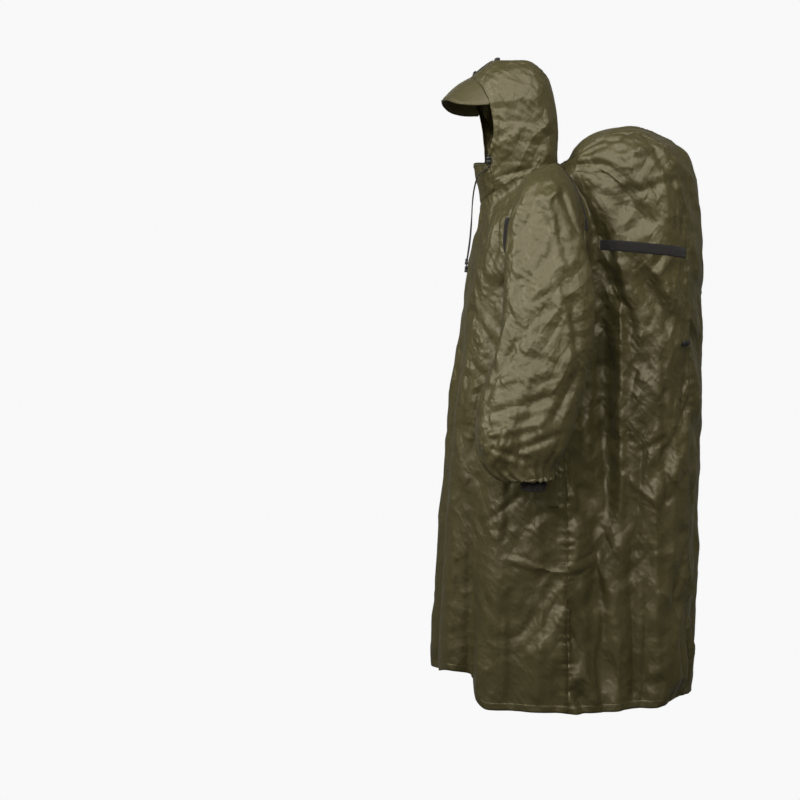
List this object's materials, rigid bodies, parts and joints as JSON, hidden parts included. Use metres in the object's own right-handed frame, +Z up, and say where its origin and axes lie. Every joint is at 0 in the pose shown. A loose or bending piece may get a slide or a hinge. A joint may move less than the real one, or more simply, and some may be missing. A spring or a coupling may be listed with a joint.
{
  "type": "hooded rain poncho",
  "caption": "Long hooded rain poncho with raglan sleeves, stiff visor and a raised back that covers a pack, kept in its worn hollow form.",
  "frame": {"origin": "middle of the neck, level with the top of the shoulders, where the wearer holds it up", "axes": "+Z up; -Y the way the wearer faces; +X the wearer's left"},
  "size_m": [0.6896, 0.6459, 1.5043],
  "materials": {
    "olive_cloth": "satin coated nylon",
    "black_webbing": "flat woven webbing",
    "black_cord": "braided cord",
    "black_elastic": "gathered elastic",
    "black_plastic": "moulded plastic"
  },
  "bodies": {
    "root": {"front_panel": "olive_cloth", "pack_side_left": "olive_cloth", "pack_side_right": "olive_cloth", "pack_back": "olive_cloth", "sleeve_left": "olive_cloth", "sleeve_right": "olive_cloth", "hood_side_left": "olive_cloth", "hood_side_right": "olive_cloth", "hood_crown": "olive_cloth", "chin_guard": "olive_cloth", "visor": "olive_cloth", "side_tab_left": "olive_cloth", "side_tab_right": "olive_cloth", "pack_tape_left": "black_webbing", "pack_tape_right": "black_webbing", "back_tape_left": "black_webbing", "back_tape_right": "black_webbing", "front_tape_left": "black_webbing", "front_tape_right": "black_webbing", "drawcord_left": "black_cord", "drawcord_right": "black_cord", "crown_cord": "black_cord", "chin_toggle_left": "black_plastic", "chin_toggle_right": "black_plastic", "crown_toggle": "black_plastic", "pack_toggle_left": "black_plastic", "pack_toggle_right": "black_plastic", "cord_end_left": "black_plastic", "cord_end_right": "black_plastic", "cuff_left": "black_elastic", "cuff_right": "black_elastic"}
  },
  "joints": []
}
